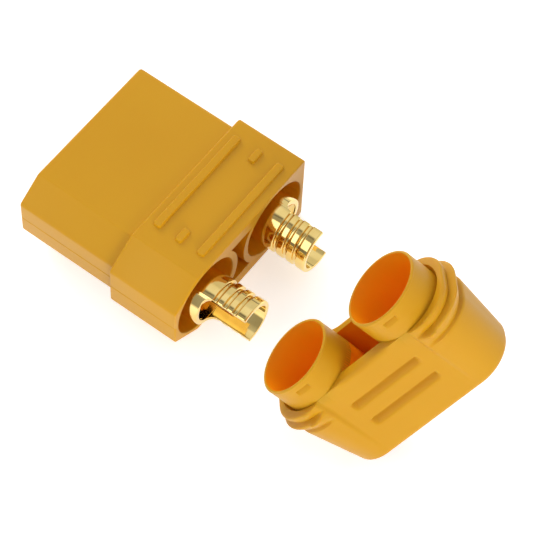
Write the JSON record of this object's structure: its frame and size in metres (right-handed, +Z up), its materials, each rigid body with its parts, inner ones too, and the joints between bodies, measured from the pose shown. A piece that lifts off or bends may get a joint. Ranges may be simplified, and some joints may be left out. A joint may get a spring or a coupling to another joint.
{
  "type": "battery connector",
  "caption": "Flat keyed battery connector: plastic housing with round gold contacts ending in open solder cups, and its ribbed wire cap lying beside it.",
  "frame": {"origin": "centre of the housing's mating face, midway between the contacts and on the height of their axes", "axes": "+X from the mating face back to the solder cups, +Y across towards the square-cornered side, +Z up"},
  "size_m": [0.0492, 0.0236, 0.0221],
  "materials": {
    "housing_plastic": "satin amber nylon",
    "gold_contact": "polished gold plating",
    "cap_plastic": "satin light amber nylon"
  },
  "bodies": {
    "root": {"housing": "housing_plastic", "left_contact": "gold_contact", "right_contact": "gold_contact", "cap": "cap_plastic"}
  },
  "joints": []
}
